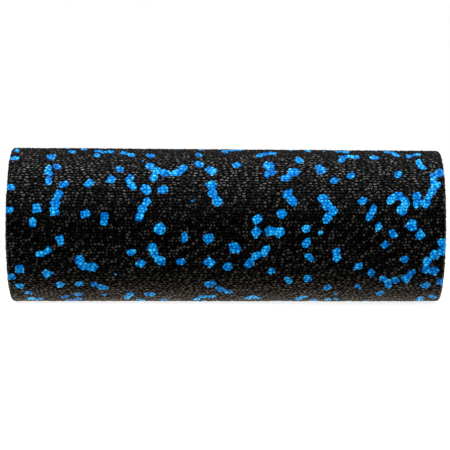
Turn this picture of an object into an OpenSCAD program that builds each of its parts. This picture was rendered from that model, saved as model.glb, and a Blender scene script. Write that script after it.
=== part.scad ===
// A small solid foam massage roller, steam-moulded from black and blue foam beads.
// Millimetres. The roller lies on its side: its axis runs along X, +Z is up, and its
// front faces -Y. The origin is the middle of the bottom of its bounding box.
// "Along" is measured from the left end, and "around" in degrees up from the front line.

/* [Roller] */
// Length of the roller
roller_length = 150; // [100:1:300]
// Diameter at the large, left end
big_diameter = 54.1; // [40:0.1:80]
// Diameter at the small, right end, less by the mould draft
small_diameter = 53.1; // [40:0.1:80]
// Radius of the rounded rim at each end
rim_radius = 1.4; // [0.5:0.1:3]

/* [Beads] */
// Usual width of one foam bead at the surface
bead_width = 3.4; // [2:0.1:5]
// Depth of a blue bead below the surface
bead_depth = 2.6; // [1:0.1:5]
// Blue bead groups tried on the far half of the curved side
side_tries = 300; // [0:10:500]
// Blue bead groups tried on each end face
end_tries = 44; // [0:2:120]

/* [Hidden] */
$fn = 144;

big_radius = big_diameter / 2;
small_radius = small_diameter / 2;
axis_height = max(big_radius, small_radius);
mean_radius = (big_radius + small_radius) / 2;
mm_per_degree = mean_radius * PI / 180;

// How far a bead prism stands out of the surface before it is cut back to it.
proud = 1;

// Spacing of the beads in one group, and the bare gap left between two groups.
bead_step = 0.86 * bead_width;
group_gap = 1.36 * bead_width;

// The far half of the side, in degrees around, where the bead groups are scattered.
far_from = 96;
far_to = 259;

// How far from each end a scattered group's first bead and its other beads stay.
first_bead_margin = 1.5;
bead_margin = 1.2;

// Listed groups further around than this come near the far half.
edge_from = 60;

// The ring of each end face that holds beads: clear of the middle and of the side's own beads.
end_clear_radius = 6;
end_bead_radius = small_radius - bead_depth - 0.7 * bead_width;

// Facets along each rim's quarter round, and the step from one try's seed to the next.
rim_steps = 6;
seed_step = 17;

black = [0.07, 0.07, 0.075];
blue = [0.02, 0.36, 0.80];

// The front half's blue bead groups, each a list of touching beads. A bead is
// [along, around], then [length, width, heading] where it isn't a usual one,
// then its number of corners where that isn't left to chance.
front_groups = [
    [[2.2, 73.6, 4, 2.1, 95]],
    [[2.2, 58.5, 3.2, 3, 0]],
    [[1.9, 28.3, 3.4, 2.6, 0]],
    [[1.6, 10.7, 3.4, 2.6, 0]],
    [[14.7, 61, 4.6, 3.4, 90]],
    [[17, 48.2], [14.2, 46.3], [14.4, 41.3], [14.5, 34.3, 4.2, 2.6, 90]],
    [[19.7, 31]],
    [[18.3, 22.5, 3.8, 3.6, 10, 4], [17.2, 16], [16.9, 9.5, 4.2, 4.1, 68, 4]],
    [[10.8, 11.7, 4.2, 4.1, 62, 4]],
    [[9.5, 1.1, 3.8, 2.9, 90, 5]],
    [[21.5, 71.4, 3.6, 2.7, 120]],
    [[25.4, 80, 4.2, 2.7, 95]],
    [[30.3, 64, 3.8, 2.4, 110], [30.3, 73.5], [32.5, 70.8], [35, 72]],
    [[39.5, 69.5, 4.2, 2.8, 120], [42.3, 65, 3.4, 2.6, 120]],
    [[38.5, 45.6, 3.8, 2.9, 120]],
    [[35.7, 35.6, 4, 3.6, 10, 4]],
    [[28.4, 32.4, 4.1, 4, 5, 4]],
    [[42.1, 36.3, 4, 2.8, 60], [42.9, 30, 4.2, 2.8, 130]],
    [[46.3, 56, 1.2, 1.1, 0]],
    [[48.8, 64.5, 4, 3.2, 110]],
    [[47.9, 27, 4.2, 3.8, 120]],
    [[48.8, 49.6], [51.2, 44.6], [50.4, 38, 4, 2.8, 80], [53.9, 42],
        [57.8, 41.9, 4.8, 3.2, 15], [60.2, 46.8, 4.6, 3.3, 55]],
    [[27.3, 7.7, 4, 3.8, 62, 4]],
    [[33.9, 6.3], [33.7, 2, 3, 2.6, 0]],
    [[48.2, 17, 3.8, 3, 60], [46.5, 11.6, 3.8, 3.4, 0], [45.7, 5.8, 3.8, 3, 70]],
    [[18.6, -11.4, 4.1, 3.7, 75, 4]],
    [[14.7, -19.2, 3.1, 3, 90, 4], [12.1, -22, 4, 2.5, 10]],
    [[4.6, -34.7, 4.2, 3.9, 40, 4]],
    [[1.5, -42.2, 3.6, 3.3, 0]],
    [[14.1, -38.8, 4.1, 4.2, 0, 4]],
    [[25.2, -27, 4, 3.2, 60], [26.7, -32.3, 3.6, 3.6, 0], [29.6, -33, 4, 3.6, 0]],
    [[43, -20.6, 3.5, 2.5, 15]],
    [[45.9, -29.6, 3.6, 2.9, 20]],
    [[4.2, -52.4, 3.6, 3.3, 150]],
    [[18.4, -51, 4, 4, 0, 4]],
    [[24.7, -49.6, 3.4, 2.6, 15]],
    [[30.2, -50.6, 3.6, 2.8, 150], [32.7, -53.6, 4.4, 3.4, 160]],
    [[37.3, -39.4, 0.8, 0.8, 0]],
    [[6.9, -62, 3.3, 3.1, 0]],
    [[24, -64.7, 3.6, 3.1, 30]],
    [[33.2, -65.8, 2.4, 1.5, 60]],
    [[41.9, -64.8, 4.8, 2.7, 70], [41, -71.6, 4.8, 2.7, 75]],
    [[48.9, -64.5, 4.2, 3.9, 0]],
    [[19.5, -69.7, 3.6, 2.9, 30]],
    [[7.6, -75.4, 4.6, 3.4, 90], [10.5, -76.6, 4.4, 2.6, 80]],
    [[23.8, -76.6, 4.8, 3.1, 80], [20.6, -80.4, 4.4, 3.3, 70]],
    [[45.2, -80, 4.8, 3.7, 90]],
    [[50, -16.8, 3.5, 3.2, 110], [50.8, -22.4, 3.8, 3.2, 120], [52.8, -27.2, 4.2, 3.5, 135]],
    [[52.6, -2.8, 4.2, 4, 20]],
    [[61, -9.3, 3.9, 2.5, 80]],
    [[69.1, -9.8, 4.2, 3.6, 50]],
    [[77.9, -16.8, 4.6, 3.9, 160, 5]],
    [[85.3, -5, 4.4, 4.1, 85, 4]],
    [[90, -4.4, 4, 3.5, 180, 5], [93.3, -5, 4.1, 3.8, 270, 5]],
    [[88.5, -18.9, 4.7, 3.5, 60], [85.5, -23, 4, 2.9, 30], [83.2, -29.2, 4.4, 3.4, 55]],
    [[59.7, -27.8, 3.5, 2.8, 0]],
    [[69.4, -28.8, 4.6, 4.2, 3, 4]],
    [[75.8, -32.3, 3.8, 3.3, 40]],
    [[90.5, -36, 3.5, 3.1, 0, 4]],
    [[96.5, -45.4, 3.8, 2.7, 120]],
    [[69.7, -49.7, 4.2, 3.8, 10]],
    [[73.1, -56.4, 4.2, 3.2, 130], [75.8, -60.4, 4.2, 3.1, 135]],
    [[70, -69, 3.6, 3.3, 0], [67.3, -69, 3.4, 2.8, 0], [65, -76, 5.4, 2.7, 65]],
    [[53.7, -78.6, 4.6, 3, 90]],
    [[84.3, -69.3, 3.8, 3.3, 90], [82.8, -72.6, 3.4, 2.8, 0], [86.2, -72.8, 3.4, 2.9, 0]],
    [[102, -69.4, 3.2, 2.8, 30], [100.5, -74.2, 4, 3, 70]],
    [[65.5, 66, 3.8, 2.7, 120]],
    [[65.8, 52.5, 4.4, 3.1, 125]],
    [[69.9, 44.8, 4.7, 4.2, 99, 4]],
    [[78.6, 51.8, 3.9, 3.8, 0, 4]],
    [[70.1, 31, 4.1, 3.8, 0], [70.5, 24, 3.6, 3.4, 90], [72, 17.8, 4.2, 3.3, 130]],
    [[63.6, 18, 1.4, 0.8, 20]],
    [[53.5, 26.9, 3.8, 3.3, 30]],
    [[89.6, 51.4, 4.2, 4, 0], [90.4, 44.6, 4.3, 3.5, 100], [88.9, 40.6, 2.4, 2.2, 90]],
    [[87.1, 67.4, 4.8, 2.9, 50], [89.5, 70.6, 3.8, 3, 40], [91.7, 70.6, 3.5, 2.1, 90]],
    [[74.7, 74.2, 4.2, 2.5, 110], [77, 79.6, 4.2, 3, 60], [79.6, 82, 3.4, 2.8, 60]],
    [[66.6, 82.5, 3.5, 2.3, 90]],
    [[57.6, 86, 3.2, 2.6, 0]],
    [[96.1, 24, 4.4, 3.5, 56, 4], [97.5, 18.4, 4, 3.4, 140]],
    [[85.6, 4.3, 4.1, 4, 0, 4]],
    [[93.9, 8.4, 3.6, 3.4, 0]],
    [[98.4, 44, 4.5, 4, 0], [95.6, 37.9, 4.4, 3.3, 25]],
    [[100.3, 58.3, 4.4, 3.1, 110]],
    [[103.6, 79, 4.2, 2.3, 95]],
    [[109.2, 78.5, 2.2, 0.9, 90]],
    [[114.1, 79.2, 4, 2.9, 90], [116.6, 77.4, 4.8, 3, 95]],
    [[119.7, 64, 3.5, 2.9, 60], [117.4, 65.4, 3, 2.9, 90], [115.6, 64.2, 3.6, 2.7, 90],
        [114.8, 58.8, 3.6, 2.5, 50]],
    [[126.2, 63.5, 3.8, 3.1, 160]],
    [[131.1, 77.8, 4.2, 2.8, 105], [133, 75, 4, 2.9, 110], [134, 69.2, 4, 2.5, 115]],
    [[138.5, 67.2, 4, 2.6, 60], [141.1, 70.4, 4, 2.9, 50]],
    [[127.8, 85, 3, 1.3, 90]],
    [[106.9, 49.6, 3.8, 2.7, 90], [107.8, 45.5, 4.1, 2.9, 30]],
    [[111.9, 35.6, 3.5, 2.8, 20]],
    [[117.6, 40.4, 3.6, 2.7, 60]],
    [[133.9, 42.1, 3.6, 3, 80]],
    [[141.4, 56.6, 4.3, 2.7, 85], [142.3, 50.8, 3.7, 2.5, 135]],
    [[148.3, 44.2, 4.2, 3.1, 80], [146.1, 41, 3, 2.7, 50], [145.7, 36.5, 3.8, 2.3, 90],
        [146.6, 32, 3.9, 3.4, 0], [145.3, 26.8, 3.7, 2.7, 60], [144.1, 22.4, 3.2, 2.4, 60],
        [142.6, 17.8, 4.2, 3.7, 0], [139.9, 22.6, 3.4, 3.1, 60], [139.9, 17, 4.2, 2.8, 60]],
    [[131.2, 20, 4.1, 2.9, 60], [133.6, 22.9, 3.8, 3.1, 0], [135.9, 18.2, 4, 2.9, 120],
        [134.7, 12, 4, 3.4, 90]],
    [[108.1, 20.4, 3.7, 3.3, 0], [109.2, 15.2, 4.2, 3.5, 130], [111.3, 10.8, 4, 3.2, 70],
        [109.4, 5.7, 4, 3, 60]],
    [[121.3, 18.5, 3.5, 3.1, 180, 5]],
    [[125, 12, 3.8, 2.3, 80], [123.8, 7, 3.8, 2.5, 60]],
    [[126.8, -1, 3.9, 2.6, 75, 4]],
    [[138.1, 0.6, 4.3, 4, 180, 5], [141, -6.2, 4, 4, 95, 4]],
    [[102.3, -2.4, 3.6, 2.7, 25]],
    [[107.1, -5.1, 2.1, 1.7, 20]],
    [[102.4, -12.8, 3.8, 3, 50]],
    [[103.5, -24, 4.1, 2.7, 130]],
    [[112.6, -19, 3.2, 2.2, 20], [112.8, -24.3, 3.9, 3.1, 70]],
    [[120.2, -31.8, 3.8, 3.2, 48, 4]],
    [[124.8, -37.7, 4, 2.9, 100, 4]],
    [[131.8, -5.7, 3.8, 2.8, 140]],
    [[129.2, -14.3, 3.4, 3, 90, 4]],
    [[135.8, -25.6, 3.6, 3.2, 170, 4]],
    [[148.5, -12.4, 3.6, 3.6, 0], [148.9, -18.6, 3.6, 3.4, 90], [146.1, -21.8, 4, 3.5, 20],
        [143.6, -27.4, 3.9, 3.1, 70], [143.3, -34, 4, 2.6, 90], [146.1, -36, 3.8, 3.7, 0]],
    [[103.2, -43.3, 3.8, 3, 110]],
    [[128.9, -43.6, 3.4, 2.9, 150], [130.7, -46.5, 3.8, 3, 120], [133.1, -45.2, 3.6, 3.5, 0],
        [130.8, -50.6, 3.4, 2.6, 90]],
    [[138.4, -37.8, 4.4, 2.7, 60], [136.7, -43.6, 4.4, 3.1, 120]],
    [[143.5, -51.2, 4.3, 4, 90, 4]],
    [[148.9, -47, 3.9, 3.5, 90]],
    [[109.9, -54, 3.8, 2.9, 60]],
    [[120.5, -52.6, 3.4, 1.9, 115]],
    [[128.6, -61.9, 4.4, 3, 60]],
    [[113, -63.5, 1.8, 1.1, 90]],
    [[146.7, -68.4, 4.3, 2.9, 130]],
    [[142.7, -71.6, 3.8, 2.7, 90], [142.9, -79, 5.2, 3.1, 85]],
    [[105.7, -80, 4.4, 3.6, 90]],
    [[110.8, -76.6, 4.4, 2.5, 90]],
    [[113.5, -75.6, 3.8, 1.7, 110]],
    [[118.3, -84, 3.2, 1.8, 90]],
    [[124.3, -84.5, 3.2, 2.2, 90]],
    [[93.8, -84, 3, 1.8, 90]],
    [[97.2, -84.5, 3.2, 2.2, 60]],
    [[67.3, -84.5, 3.2, 2.2, 90]],
    [[19.6, 84.5, 3.2, 1.6, 90]],
    [[97.7, 84.5, 3.2, 1.6, 90]],
];

function radius_at(along) =
    big_radius + (small_radius - big_radius) * along / roller_length;

// A seeded number from low to high. The same seed always gives the same number.
function pick(low, high, seed) = rands(low, high, 1, seed)[0];

// How many beads a scattered group has: mostly one, now and then up to five.
function group_size(seed) =
    let (chance = pick(0, 1, seed))
    chance < 0.58 ? 1 : chance < 0.80 ? 2 : chance < 0.91 ? 3 : chance < 0.97 ? 4 : 5;

// A scattered group as flat [x, y] places: a short crooked walk from its first bead.
function walk(place, heading, beads, seed) =
    beads == 0 ? [] :
    let (
        turned = heading + pick(-55, 55, seed),
        next = place + bead_step * [cos(turned), sin(turned)]
    )
    concat([place], walk(next, turned, beads - 1, seed + 1));

// Keeps each tried group that stays clear of every group kept before it.
function gap_to(place, groups) =
    min([for (group = groups) for (bead = group) norm([place.x - bead.x, place.y - bead.y])]);

function stands_clear(tried, groups) =
    min([for (place = tried) gap_to(place, groups)]) > group_gap;

function side_try(seed) =
    walk(
        [
            pick(first_bead_margin, roller_length - first_bead_margin, seed),
            pick(far_from, far_to, seed + 0.1) * mm_per_degree
        ],
        pick(0, 360, seed + 0.2),
        group_size(seed + 0.3),
        seed + 0.4
    );

function on_far_side(tried) =
    min([for (place = tried) min(place.x, roller_length - place.x)]) > bead_margin
    && min([for (place = tried) place.y]) > far_from * mm_per_degree
    && max([for (place = tried) place.y]) < far_to * mm_per_degree;

function scatter_side(groups, tries, seed) =
    tries == 0 ? groups :
    let (tried = side_try(seed))
    scatter_side(
        on_far_side(tried) && stands_clear(tried, groups) ? concat(groups, [tried]) : groups,
        tries - 1,
        seed + seed_step
    );

function end_try(seed) =
    let (angle = pick(0, 360, seed), radius = end_bead_radius * sqrt(pick(0, 1, seed + 0.1)))
    walk(
        radius * [cos(angle), sin(angle)],
        pick(0, 360, seed + 0.2),
        group_size(seed + 0.3),
        seed + 0.4
    );

function on_end(tried) =
    max([for (place = tried) norm(place)]) < end_bead_radius
    && min([for (place = tried) norm(place)]) > end_clear_radius;

function scatter_end(groups, tries, seed) =
    tries == 0 ? groups :
    let (tried = end_try(seed))
    scatter_end(
        on_end(tried) && stands_clear(tried, groups) ? concat(groups, [tried]) : groups,
        tries - 1,
        seed + seed_step
    );

// The front groups near the top and bottom lines, unrolled, as the first groups to keep clear of.
function unrolled(around) = (around < 0 ? around + 360 : around) * mm_per_degree;

edge_groups = [
    for (group = front_groups)
        if (abs(group[0][1]) > edge_from)
            [for (bead = group) [bead[0], unrolled(bead[1])]]
];

far_groups = [
    for (group = scatter_side(edge_groups, side_tries, 2000))
        if (group[0].y > far_from * mm_per_degree && group[0].y < far_to * mm_per_degree)
            [for (place = group) [place.x, place.y / mm_per_degree]]
];

side_groups = concat(front_groups, far_groups);

far_away = [[[1000, 1000]]];
left_end_groups = [for (group = scatter_end(far_away, end_tries, 500)) if (group != far_away[0]) group];
right_end_groups = [for (group = scatter_end(far_away, end_tries, 800)) if (group != far_away[0]) group];

// One bead's outline: an uneven polygon of 4 to 6 corners, with one near its heading.
module bead_outline(bead, seed) {
    length = len(bead) > 2 ? bead[2] : bead_width * pick(0.95, 1.18, seed);
    width = len(bead) > 3 ? bead[3] : length * pick(0.74, 0.96, seed + 0.1);
    heading = len(bead) > 4 ? bead[4] : pick(0, 180, seed + 0.2);
    corners = len(bead) > 5 ? bead[5] : pick(0, 1, seed + 0.3) < 0.45 ? 5 : 6;
    stagger = rands(-0.2, 0.2, corners, seed + 0.4);
    bulge = rands(0.96, 1.14, corners, seed + 0.5);
    rotate(heading)
        polygon([
            for (k = [0 : corners - 1])
                let (angle = (k + stagger[k]) * 360 / corners)
                bulge[k] * [length / 2 * cos(angle), width / 2 * sin(angle)]
        ]);
}

// A bead as a prism from below the surface to a little outside it.
module bead_prism(bead, seed) {
    linear_extrude(bead_depth + proud)
        bead_outline(bead, seed);
}

function seed_of(bead) = round(97 * abs(bead[0]) + 1009 * abs(bead[1]));

module side_bead(bead) {
    translate([bead[0] - roller_length / 2, 0, axis_height])
        rotate([90 - bead[1], 0, 0])
            translate([0, 0, radius_at(bead[0]) - bead_depth])
                bead_prism(bead, seed_of(bead));
}

// side is -1 for the left end and 1 for the right end.
module end_bead(bead, side) {
    translate([side * (roller_length / 2 - bead_depth), 0, axis_height])
        rotate([0, side * 90, 0])
            translate([bead.x, bead.y, 0])
                bead_prism(bead, seed_of(bead));
}

module side_beads(groups) {
    for (group = groups)
        for (bead = group)
            side_bead(bead);
}

module end_beads(groups, side) {
    for (group = groups)
        for (bead = group)
            end_bead(bead, side);
}

// Half of the lengthwise section: the drafted side, with a quarter round at each rim.
function rim_arc(along, radius, from, to) = [
    for (angle = [from : (to - from) / rim_steps : to])
        [radius - rim_radius + rim_radius * cos(angle), along + rim_radius * sin(angle)]
];

module roller_solid() {
    translate([-roller_length / 2, 0, axis_height])
        rotate([0, 90, 0])
            rotate_extrude()
                polygon(concat(
                    [[0, 0]],
                    rim_arc(rim_radius, big_radius, -90, 0),
                    rim_arc(roller_length - rim_radius, small_radius, 0, 90),
                    [[0, roller_length]]
                ));
}

module foam_body() {
    color(black)
        difference() {
            roller_solid();
            side_beads(side_groups);
            end_beads(left_end_groups, -1);
            end_beads(right_end_groups, 1);
        }
}

// The side is shared out in eight strips of 45 degrees, numbered upwards from the front.
// A group belongs to the strip that holds its first bead.
strip_angle = 45;
strip_count = 360 / strip_angle;

function strip_of(group) =
    let (turned = group[0][1] + 360 + strip_angle / 2)
    floor(turned / strip_angle) % strip_count;

module side_strip(number) {
    color(blue)
        intersection() {
            roller_solid();
            side_beads([for (group = side_groups) if (strip_of(group) == number) group]);
        }
}

module end_inlay(groups, side) {
    color(blue)
        intersection() {
            roller_solid();
            end_beads(groups, side);
        }
}

foam_body();
side_strip(0);  // blue_beads_front
side_strip(1);  // blue_beads_front_top
side_strip(2);  // blue_beads_top
side_strip(3);  // blue_beads_back_top
side_strip(4);  // blue_beads_back
side_strip(5);  // blue_beads_back_bottom
side_strip(6);  // blue_beads_bottom
side_strip(7);  // blue_beads_front_bottom
end_inlay(left_end_groups, -1);  // blue_beads_left_end
end_inlay(right_end_groups, 1);  // blue_beads_right_end
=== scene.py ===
import math

import bpy
import numpy as np
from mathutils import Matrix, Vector
from mathutils.bvhtree import BVHTree
from mathutils.kdtree import KDTree


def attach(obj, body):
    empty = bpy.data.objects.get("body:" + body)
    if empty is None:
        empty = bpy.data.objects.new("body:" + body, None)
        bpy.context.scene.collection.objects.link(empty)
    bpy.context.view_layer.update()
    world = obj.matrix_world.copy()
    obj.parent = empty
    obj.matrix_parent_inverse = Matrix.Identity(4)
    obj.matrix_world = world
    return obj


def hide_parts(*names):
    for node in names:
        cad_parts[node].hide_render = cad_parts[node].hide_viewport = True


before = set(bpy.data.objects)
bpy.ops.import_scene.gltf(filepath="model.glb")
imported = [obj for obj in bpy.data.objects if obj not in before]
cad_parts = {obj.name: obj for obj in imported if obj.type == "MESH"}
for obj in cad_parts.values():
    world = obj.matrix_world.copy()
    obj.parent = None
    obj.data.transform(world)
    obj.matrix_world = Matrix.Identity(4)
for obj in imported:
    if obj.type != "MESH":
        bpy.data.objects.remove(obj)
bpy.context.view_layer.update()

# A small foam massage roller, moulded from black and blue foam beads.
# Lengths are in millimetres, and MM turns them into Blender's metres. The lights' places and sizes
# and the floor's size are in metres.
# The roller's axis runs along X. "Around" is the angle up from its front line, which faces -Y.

MM = 0.001
FOAM = "foam_body"
BLUE_NODES = sorted(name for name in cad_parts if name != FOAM)

# The skin's mesh.
GRID = 0.25  # spacing of its points
RIM = 1.4  # radius of the rounded rim at each end
ROW_STEP = GRID * math.sqrt(3) / 2

# The beads' outlines.
PROBE = 0.6  # depth below the skin at which the CAD beads are measured
SMOOTHING = 2  # passes that round the outlines' corners
OUTLINE_WANDER = 0.07  # how far an outline strays from its smooth line
OUTLINE_WANDER_LENGTH = 1.6
SNAP = 0.3  # a point nearer an outline than this share of an edge moves onto it

# Depth of a bead below the skin, at its outline and where it is deepest.
BEAD_EDGE_DEPTH = 1.0
BEAD_DEPTH = 2.4
RIM_DEPTH_SHARE = 0.75  # near a rim the depth is at most this share of the way to it
RIM_LEAST = 0.7 * RIM  # that way counts as at least this, on the rounded rim itself

# The skin's relief, all of it inwards.
GRAIN_PITCH = 1.1  # spacing of the pebbles in the grain
GRAIN_STRETCH = 0.6  # how much longer than that they are at the most
GRAIN_JITTER = 0.32  # how far a pebble strays from its place, each way
GRAIN_METRIC = np.array([0.85, 1, 1])  # lengths along the roller count for less, so pebbles lie along it
GRAIN_DEPTH = 0.45  # depth of the deepest groove
DOME_RADIUS = 0.75  # a pebble's dome, in pitches
DOME_SHARE = 0.45  # the dome's share of the grain's height, with the groove's edge making up the rest
GROOVE_WIDTH = 0.5  # over what difference in distance, in pitches, a groove rises to its pebble
SMALLEST_PEBBLE = 0.7  # height of the lowest pebble, next to 1 for the highest
CLUMP_SHARE = 0.14  # how far whole clumps of pebbles stand higher or lower, as a share of the grain
CLUMP_LENGTH = 2.6
WAVE_DEPTH = 0.06  # slow unevenness of the whole skin
WAVE_LENGTH = 9.0
SEAM_DEPTH = 0.05  # the fine furrow along each blue bead's outline
SEAM_WIDTH = 0.25
MARK_RADIUS = 4.6  # the moulding tool's round mark in the middle of each end
MARK_WIDTH = 0.5
MARK_DEPTH = 0.22

# The patterns inside the foam's materials.
BEAD_WIDTH = 3.4
SPECKLE_PITCH = 0.45
SPECKLE_DEPTH = 0.05

random = np.random.default_rng(7)


def unit(vectors):
    return vectors / np.linalg.norm(vectors, axis=1, keepdims=True)


def mesh_arrays(node):
    """A CAD node's points, in mm, and its triangles."""
    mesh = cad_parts[node].data
    mesh.calc_loop_triangles()
    points = np.empty(len(mesh.vertices) * 3, np.float32)
    mesh.vertices.foreach_get("co", points)
    triangles = np.empty(len(mesh.loop_triangles) * 3, np.int32)
    mesh.loop_triangles.foreach_get("vertices", triangles)
    return points.reshape(-1, 3).astype(float) / MM, triangles.reshape(-1, 3)


class Roller:
    """The roller's outer shape, measured from the CAD body."""

    def __init__(self):
        points, _ = mesh_arrays(FOAM)
        low, high = points.min(0), points.max(0)
        self.half = (high[0] - low[0]) / 2
        self.axis_height = (low[2] + high[2]) / 2
        out = np.hypot(points[:, 1], points[:, 2] - self.axis_height)
        near_right = points[:, 0] > self.half - 2 * RIM
        self.big = out.max()
        self.small = out[near_right].max()

    def rows(self, step):
        """The lengthwise outline from the middle of the left end to the middle of the right end,
        as one row for each ring of points: x, radius, and the normal's x and outward parts."""
        rows = []
        flat = np.arange(0, self.big - RIM, step)
        rows += [(-self.half, radius, -1, 0) for radius in flat]
        turns = np.linspace(-math.pi / 2, 0, max(3, round(math.pi / 2 * RIM / step)) + 1)
        for turn in turns[:-1]:
            rows.append(self.rim_row(-self.half + RIM, self.big, turn))
        count = round((2 * self.half - 2 * RIM) / step)
        for share in np.linspace(0, 1, count + 1):
            x = (2 * share - 1) * (self.half - RIM)
            rows.append((x, self.big + (self.small - self.big) * share, 0, 1))
        for turn in -turns[::-1][1:]:
            rows.append(self.rim_row(self.half - RIM, self.small, turn))
        flat = np.arange(0, self.small - RIM, step)
        rows += [(self.half, radius, 1, 0) for radius in flat[::-1]]
        return np.array(rows, float)

    def rim_row(self, x, radius, turn):
        lengthwise, outward = math.sin(turn), math.cos(turn)
        return x + RIM * lengthwise, radius - RIM + RIM * outward, lengthwise, outward

    def from_rim(self, points):
        """How far each point is from the nearer rim's corner, along the skin, at least."""
        out = np.hypot(points[:, 1], points[:, 2] - self.axis_height)
        radius = np.where(points[:, 0] < 0, self.big, self.small)
        return np.maximum(self.half - np.abs(points[:, 0]), radius - out)


def skin_points(rows, spacing):
    """Rings of points, each staggered by half a space from the last: points, normals, ring sizes."""
    sizes = [max(1, round(2 * math.pi * row[1] / spacing)) for row in rows]
    points, normals = [], []
    for number, (row, size) in enumerate(zip(rows, sizes)):
        x, radius, lengthwise, outward = row
        around = (np.arange(size) + 0.5 * (number % 2)) * 2 * math.pi / size
        towards = np.stack([0 * around, -np.cos(around), np.sin(around)], 1)
        points.append(radius * towards + [x, 0, roller.axis_height])
        normals.append(outward * towards + [lengthwise, 0, 0])
    return np.concatenate(points), np.concatenate(normals), sizes


def skin_triangles(sizes):
    """Each edge of a ring joins the nearest point of the next ring, and the other way round."""
    triangles = []
    first = 0
    for number, (size, next_size) in enumerate(zip(sizes, sizes[1:])):
        next_first = first + size
        here = (np.arange(size) + 0.5 + 0.5 * (number % 2)) / size
        there = (np.arange(next_size) + 0.5 + 0.5 * ((number + 1) % 2)) / next_size
        if size > 1:
            a = np.arange(size)
            c = np.searchsorted(there, here, "left") % next_size
            triangles.append(np.stack([first + a, first + (a + 1) % size, next_first + c], 1))
        if next_size > 1:
            a = np.arange(next_size)
            c = np.searchsorted(here, there, "right") % size
            triangles.append(np.stack([next_first + (a + 1) % next_size, next_first + a, first + c], 1))
        first = next_first
    return np.concatenate(triangles)


def edges_of(triangles):
    pairs = np.concatenate([triangles[:, [0, 1]], triangles[:, [1, 2]], triangles[:, [2, 0]]])
    pairs.sort(axis=1)
    keys = np.unique(pairs[:, 0].astype(np.int64) * (2**31) + pairs[:, 1])
    return np.stack([keys // 2**31, keys % 2**31], 1)


def bead_distances(points, normals):
    """How far each skin point is inside (+) or outside (-) the nearest CAD bead's outline, up to
    PROBE, and which node that bead is in."""
    all_points, all_triangles, owners, count = [], [], [], 0
    for number, node in enumerate(BLUE_NODES):
        node_points, node_triangles = mesh_arrays(node)
        all_points.append(node_points)
        all_triangles.append(node_triangles + count)
        owners += [number] * len(node_triangles)
        count += len(node_points)
    tree = BVHTree.FromPolygons(np.concatenate(all_points).tolist(), np.concatenate(all_triangles).tolist())
    inside = np.full(len(points), -PROBE)
    owner = np.zeros(len(points), np.int32)
    probes = (points - PROBE * normals).tolist()
    directions = normals.tolist()
    for index, (probe, direction) in enumerate(zip(probes, directions)):
        _, _, triangle, distance = tree.find_nearest(probe, 2 * PROBE)
        if triangle is None:
            continue
        owner[index] = owners[triangle]
        _, face_normal, _, _ = tree.ray_cast(probe, direction, 3 * PROBE)
        is_inside = face_normal is not None and face_normal.dot(direction) > 0
        inside[index] = min(distance, PROBE) if is_inside else -min(distance, PROBE)
    return inside, owner


def smoothed(values, edges, passes):
    count = len(values)
    a, b = edges.T
    neighbours = np.bincount(a, minlength=count) + np.bincount(b, minlength=count)
    for _ in range(passes):
        total = np.bincount(a, values[b], count) + np.bincount(b, values[a], count)
        values = (values + total / neighbours) / 2
    return values


def waves(points, wave_length, count=14):
    """Smooth seeded noise, about -1 to 1: a sum of plane waves in random directions."""
    total = np.zeros(len(points))
    for direction in unit(random.normal(size=(count, 3))):
        length = wave_length * random.uniform(0.75, 1.35)
        total += np.sin(points @ direction * 2 * math.pi / length + random.uniform(0, 2 * math.pi))
    return total / math.sqrt(count)


def snap_to_outlines(points, normals, inside, edges):
    """Moves the points that are close to an outline onto it."""
    a, b = edges.T
    crossing = inside[a] * inside[b] < 0
    a, b = a[crossing], b[crossing]
    share = inside[a] / (inside[a] - inside[b])
    near, far, share = np.concatenate([a, b]), np.concatenate([b, a]), np.concatenate([share, 1 - share])
    order = np.argsort(-share)
    order = order[share[order] < SNAP]
    near, far, share = near[order], far[order], share[order][:, None]
    moved, turned, level = points.copy(), normals.copy(), inside.copy()
    moved[near] = points[near] + share * (points[far] - points[near])
    turned[near] = normals[near] + share * (normals[far] - normals[near])
    level[near] = 0
    return moved, unit(turned), level


def cut_along_outlines(points, normals, inside, owner, triangles):
    """Splits each triangle that an outline crosses."""
    side = np.sign(inside)
    corners = side[triangles]
    mixed = (corners.min(1) < 0) & (corners.max(1) > 0)
    whole, cut = triangles[~mixed], triangles[mixed]
    ends = np.stack([cut, np.roll(cut, -1, axis=1)], 2)
    crossing = side[ends[..., 0]] * side[ends[..., 1]] < 0
    pairs = np.sort(ends[crossing], axis=1).astype(np.int64)
    keys, found = np.unique(pairs[:, 0] * 2**31 + pairs[:, 1], return_inverse=True)
    a, b = keys // 2**31, keys % 2**31
    share = (inside[a] / (inside[a] - inside[b]))[:, None]
    made = np.full(cut.shape, -1)
    made[crossing] = len(points) + found
    points = np.concatenate([points, points[a] + share * (points[b] - points[a])])
    normals = np.concatenate([normals, unit(normals[a] + share * (normals[b] - normals[a]))])
    inside = np.concatenate([inside, np.zeros(len(a))])
    owner = np.concatenate([owner, owner[a]])

    def corner(table, rows, place):
        return table[rows, place % 3]

    once = np.nonzero(crossing.sum(1) == 1)[0]
    k = np.argmax(crossing[once], axis=1) - 1
    tip, left, right = (corner(cut, once, k + step) for step in range(3))
    middle = corner(made, once, k + 1)
    pieces = [whole, np.stack([tip, left, middle], 1), np.stack([tip, middle, right], 1)]

    twice = np.nonzero(crossing.sum(1) == 2)[0]
    k = np.argmin(crossing[twice], axis=1)
    tip, left, right = (corner(cut, twice, k + step) for step in (2, 0, 1))
    first, second = corner(made, twice, k + 2), corner(made, twice, k + 1)
    pieces += [
        np.stack([tip, first, second], 1),
        np.stack([first, left, right], 1),
        np.stack([first, right, second], 1),
    ]
    return points, normals, inside, owner, np.concatenate(pieces)


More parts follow.
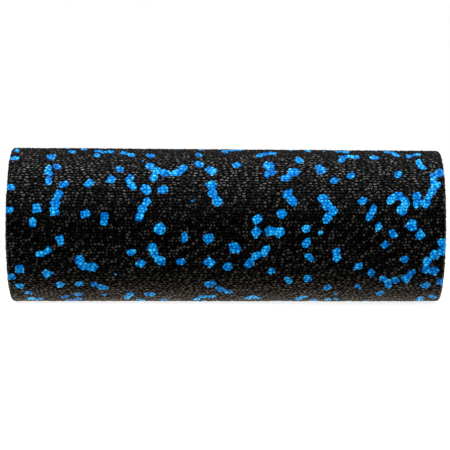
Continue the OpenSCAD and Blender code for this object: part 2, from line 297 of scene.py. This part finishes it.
def grain_centres():
    """The middles of the grain's pebbles: rings of them on the ends, and rows along the barrel, in
    which they are longest half-way between the front line and the top."""
    rings, _, _ = skin_points(roller.rows(GRAIN_PITCH), GRAIN_PITCH)
    barrel = roller.half - RIM
    centres = [rings[np.abs(rings[:, 0]) > barrel + GRAIN_PITCH / 2]]
    row_count = round(2 * math.pi * roller.big / GRAIN_PITCH)
    for around in np.arange(row_count) * 2 * math.pi / row_count:
        length = GRAIN_PITCH * (1 + GRAIN_STRETCH * (1 - math.cos(4 * around)) / 2)
        x = np.arange(-barrel + length * random.uniform(0, 1), barrel, length)
        taper = roller.big + (roller.small - roller.big) * (x / barrel + 1) / 2
        row = [x, -taper * math.cos(around), roller.axis_height + taper * math.sin(around)]
        centres.append(np.stack(row, 1) + random.uniform(-length / 3, length / 3, (len(x), 1)) * [1, 0, 0])
    centres = np.concatenate(centres)
    return centres + random.uniform(-GRAIN_JITTER, GRAIN_JITTER, centres.shape)


def grain_heights(points):
    """The grain's height at each point, from 0 in the deepest grooves to 1 on the highest pebbles."""
    centres = grain_centres() * GRAIN_METRIC
    tree = KDTree(len(centres))
    for index, centre in enumerate(centres.tolist()):
        tree.insert(centre, index)
    tree.balance()
    nearest = np.empty((len(points), 2))
    pebble = np.empty(len(points), np.int32)
    for index, point in enumerate((points * GRAIN_METRIC).tolist()):
        (_, number, first), (_, _, second) = tree.find_n(point, 2)
        nearest[index] = first, second
        pebble[index] = number
    nearest /= GRAIN_PITCH
    dome = np.clip(1 - (nearest[:, 0] / DOME_RADIUS) ** 2, 0, 1)
    groove = np.clip((nearest[:, 1] - nearest[:, 0]) / GROOVE_WIDTH, 0, 1)
    size = random.uniform(SMALLEST_PEBBLE, 1, len(centres))[pebble]
    return size * (DOME_SHARE * dome + (1 - DOME_SHARE) * groove * (2 - groove))


def relief(points, inside, grain):
    """How far the skin lies below the smooth roller."""
    depth = GRAIN_DEPTH * (1 - grain)
    depth += WAVE_DEPTH * (0.5 + 0.5 * np.clip(waves(points, WAVE_LENGTH), -1, 1))
    depth += SEAM_DEPTH * np.clip(1 - np.abs(inside) / SEAM_WIDTH, 0, 1)
    on_end = np.abs(points[:, 0]) > roller.half - 0.1
    out = np.hypot(points[:, 1], points[:, 2] - roller.axis_height)
    mark = np.clip(1 - (np.abs(out - MARK_RADIUS) / MARK_WIDTH) ** 2, 0, 1)
    return depth + MARK_DEPTH * mark * on_end


def solid(name, tops, floors, floor_faces_up):
    """A closed piece: its part of the skin, walls down from that part's edge, and floors."""
    used, keys = len(skin), tops.astype(np.int64)
    starts = keys.reshape(-1)
    stops = np.roll(keys, -1, axis=1).reshape(-1)
    rim = ~np.isin(starts * used + stops, stops * used + starts)
    a, b = starts[rim], stops[rim]
    walls = np.concatenate([np.stack([b, a, a + used], 1), np.stack([b, a + used, b + used], 1)])
    floors = floors + used
    if not floor_faces_up:
        floors = floors[:, ::-1]
    triangles = np.concatenate([tops, walls, floors]).astype(np.int64)
    kept, triangles = np.unique(triangles, return_inverse=True)
    triangles = triangles.reshape(-1, 3).astype(np.int32)
    points = np.concatenate([skin, undersides])[kept]
    height = np.concatenate([grain, grain])[kept]

    mesh = bpy.data.meshes.new(name)
    mesh.vertices.add(len(points))
    mesh.vertices.foreach_set("co", (points * MM).astype(np.float32).ravel())
    mesh.loops.add(triangles.size)
    mesh.loops.foreach_set("vertex_index", triangles.ravel())
    mesh.polygons.add(len(triangles))
    mesh.polygons.foreach_set("loop_start", np.arange(0, triangles.size, 3, dtype=np.int32))
    mesh.update(calc_edges=True)
    mesh.shade_smooth()
    mesh.attributes.new("grain", "FLOAT", "POINT").data.foreach_set("value", height.astype(np.float32))

    place = np.full(2 * used, -1)
    place[kept] = np.arange(len(kept))
    sharp = np.concatenate([np.stack([a, b], 1), np.stack([a + used, b + used], 1)])
    sharp = np.sort(place[sharp], axis=1)
    ends = np.empty(len(mesh.edges) * 2, np.int32)
    mesh.edges.foreach_get("vertices", ends)
    ends = np.sort(ends.reshape(-1, 2), axis=1).astype(np.int64)
    is_sharp = np.isin(ends[:, 0] * 2**31 + ends[:, 1], sharp[:, 0] * 2**31 + sharp[:, 1])
    mesh.attributes.new("sharp_edge", "BOOLEAN", "EDGE").data.foreach_set("value", is_sharp)

    piece = bpy.data.objects.new(name, mesh)
    bpy.context.scene.collection.objects.link(piece)
    return piece


class Nodes:
    """A short way to build a node tree."""

    def __init__(self, tree):
        tree.nodes.clear()
        self.tree = tree

    def add(self, kind, inputs=(), **settings):
        node = self.tree.nodes.new(kind)
        for name, value in settings.items():
            setattr(node, name, value)
        for name, value in dict(inputs).items():
            if isinstance(value, bpy.types.NodeSocket):
                self.tree.links.new(value, node.inputs[name])
            else:
                node.inputs[name].default_value = value
        return node

    def ramp(self, factor, stops):
        node = self.add("ShaderNodeValToRGB", {"Fac": factor})
        for _ in stops[2:]:
            node.color_ramp.elements.new(0.5)
        for element, (place, colour) in zip(node.color_ramp.elements, stops):
            element.position = place
            element.color = (*colour, 1)
        return node.outputs["Color"]

    def sum(self, first, second):
        return self.add("ShaderNodeMath", {0: first, 1: second}, operation="ADD").outputs[0]

    def mix(self, factor, first, second):
        inputs = {"Factor": factor, "A": first, "B": second}
        return self.add("ShaderNodeMix", inputs, data_type="FLOAT").outputs["Result"]

    def range(self, value, from_low, from_high, low, high):
        inputs = {"Value": value, "From Min": from_low, "From Max": from_high}
        return self.add("ShaderNodeMapRange", {**inputs, "To Min": low, "To Max": high}).outputs["Result"]


def foam_material(name, colours_with_painted_light, glosses_with_painted_shade, roughness, specular, bump, bead_tone):
    """Moulded bead foam. Its colour, gloss and roughness follow the grain, from the grooves to the
    pebbles' tops. The colour is the foam's own, darkened in the grooves as painted shade and lightened on
    the tops as a painted highlight, and the gloss is taken out of the grooves as painted shade. The tone
    changes from bead to bead, and there is a fine bump."""
    material = bpy.data.materials.new(name)
    material.use_nodes = True
    nodes = Nodes(material.node_tree)
    place = nodes.add("ShaderNodeTexCoord").outputs["Object"]
    height = nodes.add("ShaderNodeAttribute", attribute_name="grain").outputs["Fac"]
    cells = nodes.add("ShaderNodeTexVoronoi", {"Vector": place, "Scale": 1 / (BEAD_WIDTH * MM)})
    bead = nodes.add("ShaderNodeSeparateColor", {"Color": cells.outputs["Color"]}).outputs["Red"]
    noise = {"Vector": place, "Scale": 1 / (SPECKLE_PITCH * MM), "Detail": 2.0}
    speckle = nodes.add("ShaderNodeTexNoise", noise).outputs["Fac"]
    bead_shift = nodes.range(bead, 0, 1, -bead_tone, bead_tone)
    level = nodes.sum(height, nodes.sum(bead_shift, nodes.range(speckle, 0.3, 0.7, -0.1, 0.1)))
    bumps = {"Height": speckle, "Strength": bump, "Distance": SPECKLE_DEPTH * MM}
    fine = nodes.add("ShaderNodeBump", bumps)
    shader = nodes.add(
        "ShaderNodeBsdfPrincipled",
        {
            # Base colour: the foam's own colour, with painted shade in the grooves and a painted highlight
            # on the pebbles' tops
            "Base Color": nodes.ramp(level, colours_with_painted_light),
            "Roughness": nodes.range(height, 0.2, 0.9, *roughness),
            "Specular IOR Level": specular,
            # Specular tint: reflection taken out of the grooves as painted shade, full on the pebbles' tops
            "Specular Tint": nodes.ramp(level, glosses_with_painted_shade),
            "Normal": fine.outputs["Normal"],
        },
    )
    nodes.add("ShaderNodeOutputMaterial", {"Surface": shader.outputs["BSDF"]})
    return material


def add_light(name, place, size, power):
    """A rectangular light aimed at the roller."""
    data = bpy.data.lights.new(name, "AREA")
    data.shape = "RECTANGLE"
    data.size, data.size_y = size
    data.energy = power
    light = bpy.data.objects.new(name, data)
    light.location = place
    aim = Vector((0, 0, roller.axis_height * MM))
    light.rotation_euler = (aim - place).to_track_quat("-Z", "Y").to_euler()
    bpy.context.scene.collection.objects.link(light)
    return light


roller = Roller()
skin, normals, ring_sizes = skin_points(roller.rows(ROW_STEP), GRID)
triangles = skin_triangles(ring_sizes)
skin_edges = edges_of(triangles)
inside, owner = bead_distances(skin, normals)
inside = smoothed(inside, skin_edges, SMOOTHING)
inside += OUTLINE_WANDER * waves(skin, OUTLINE_WANDER_LENGTH) * (np.abs(inside) < PROBE / 2)
skin, normals, inside = snap_to_outlines(skin, normals, inside, skin_edges)
skin, normals, inside, owner, triangles = cut_along_outlines(skin, normals, inside, owner, triangles)
grain = np.clip(grain_heights(skin) * (1 + CLUMP_SHARE * waves(skin, CLUMP_LENGTH)), 0, 1)

depth = BEAD_EDGE_DEPTH + (BEAD_DEPTH - BEAD_EDGE_DEPTH) * np.clip(inside, 0, PROBE) / PROBE
depth = np.minimum(depth, RIM_DEPTH_SHARE * np.maximum(roller.from_rim(skin), RIM_LEAST))
undersides = skin - depth[:, None] * normals
skin = skin - relief(skin, inside, grain)[:, None] * normals

level = inside[triangles]
blue_faces = level.max(1) > 0
black_tops = triangles[~blue_faces]
blue_tops = triangles[blue_faces]
blue_owner = owner[blue_tops[np.arange(len(blue_tops)), level[blue_faces].argmax(1)]]

black_foam = foam_material(
    "black_bead_foam",
    # The foam's own black, near-black in the grooves as painted shade and lighter on the pebbles' tops as a
    # painted highlight
    colours_with_painted_light=[(0.5, (0.0002, 0.0002, 0.0002)), (0.8, (0.002, 0.002, 0.002)), (0.98, (0.024, 0.023, 0.022))],
    # No reflection in the grooves: painted shade
    glosses_with_painted_shade=[(0.5, (0.0, 0.0, 0.0)), (0.76, (0.15, 0.15, 0.15)), (0.88, (1.0, 1.0, 1.0))],
    roughness=(1.0, 0.22),
    specular=0.5,
    bump=0.3,
    bead_tone=0.03,
)
blue_foam = foam_material(
    "blue_bead_foam",
    # The foam's own blue, deep in the grooves as painted shade and cyan-white on the pebbles' tops as a
    # painted highlight
    colours_with_painted_light=[(0.2, (0.0, 0.065, 0.32)), (0.6, (0.0, 0.205, 0.62)), (1.0, (0.04, 0.58, 1.0))],
    # Hardly any reflection in the grooves: painted shade
    glosses_with_painted_shade=[(0.45, (0.0, 0.0, 0.0)), (0.75, (0.02, 0.05, 0.07)), (1.0, (0.3, 0.6, 0.7))],
    roughness=(0.9, 0.3),
    specular=0.5,
    bump=0.3,
    bead_tone=0.12,
)

body = solid("foam_moulding", black_tops, blue_tops, floor_faces_up=True)
body.data.materials.append(black_foam)
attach(body, "root")
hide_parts(FOAM)

for number, node in enumerate(BLUE_NODES):
    faces = blue_tops[blue_owner == number]
    piece = solid(node.replace("blue_beads", "blue_inlay"), faces, faces, floor_faces_up=False)
    piece.data.materials.append(blue_foam)
    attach(piece, "root")
    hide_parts(node)

# Floor. It lights the roller from below and behind, and hardly at all from in front.
FLOOR_HALF = 4.0
floor_mesh = bpy.data.meshes.new("floor")
corners = [(x * FLOOR_HALF, y * FLOOR_HALF, 0) for x, y in ((-1, -1), (1, -1), (1, 1), (-1, 1))]
floor_mesh.from_pydata(corners, [], [(0, 1, 2, 3)])
floor = bpy.data.objects.new("floor", floor_mesh)
bpy.context.scene.collection.objects.link(floor)
floor_material = bpy.data.materials.new("pale_floor")
floor_material.use_nodes = True
nodes = Nodes(floor_material.node_tree)
place = nodes.add("ShaderNodeTexCoord").outputs["Object"]
parts = nodes.add("ShaderNodeSeparateXYZ", {"Vector": place})
glow = nodes.range(parts.outputs["Y"], -22 * MM, -10 * MM, 0.15, 1.2)
shown = nodes.add("ShaderNodeLightPath").outputs["Is Camera Ray"]
shader = nodes.add(
    "ShaderNodeBsdfPrincipled",
    {
        "Base Color": (0.35, 0.35, 0.35, 1),
        "Roughness": 0.8,
        "Specular IOR Level": 0.1,
        "Emission Color": nodes.ramp(shown, [(0.0, (1.0, 0.86, 0.70)), (1.0, (1.0, 1.0, 1.0))]),
        "Emission Strength": nodes.mix(shown, glow, 0.85),
    },
)
nodes.add("ShaderNodeOutputMaterial", {"Surface": shader.outputs["BSDF"]})
floor_mesh.materials.append(floor_material)

# World: a pale studio, dimmest behind the roller.
world = bpy.data.worlds.new("studio")
bpy.context.scene.world = world
world.use_nodes = True
nodes = Nodes(world.node_tree)
direction = nodes.add("ShaderNodeTexCoord").outputs["Generated"]
parts = nodes.add("ShaderNodeSeparateXYZ", {"Vector": direction})
light_level = nodes.range(parts.outputs["Y"], 0.1, 0.8, 0.4, 0.12)
shown = nodes.add("ShaderNodeLightPath").outputs["Is Camera Ray"]
background = nodes.add("ShaderNodeBackground", {"Strength": nodes.mix(shown, light_level, 1.0)})
background.inputs["Color"].default_value = (1, 1, 1, 1)
nodes.add("ShaderNodeOutputWorld", {"Surface": background.outputs["Background"]})

# Lights: a long softbox overhead, and a fill at the front that the gloss doesn't show.
add_light("softbox", Vector((0, -0.063, 0.898)), (1.8, 0.2), 12)
fill = add_light("fill", Vector((0, -0.7, 0.03)), (0.6, 0.4), 5)
fill.visible_glossy = False

# Camera.
CAMERA_DISTANCE = 749 * MM
camera_data = bpy.data.cameras.new("camera")
camera_data.sensor_width = 36
camera_data.lens = 170.5
camera = bpy.data.objects.new("camera", camera_data)
camera.location = (-0.28 * MM, -CAMERA_DISTANCE, (roller.axis_height + 0.08) * MM)
camera.rotation_euler = (math.pi / 2, -0.0042, 0)
bpy.context.scene.collection.objects.link(camera)
bpy.context.scene.camera = camera
bpy.context.scene.view_settings.view_transform = "Standard"
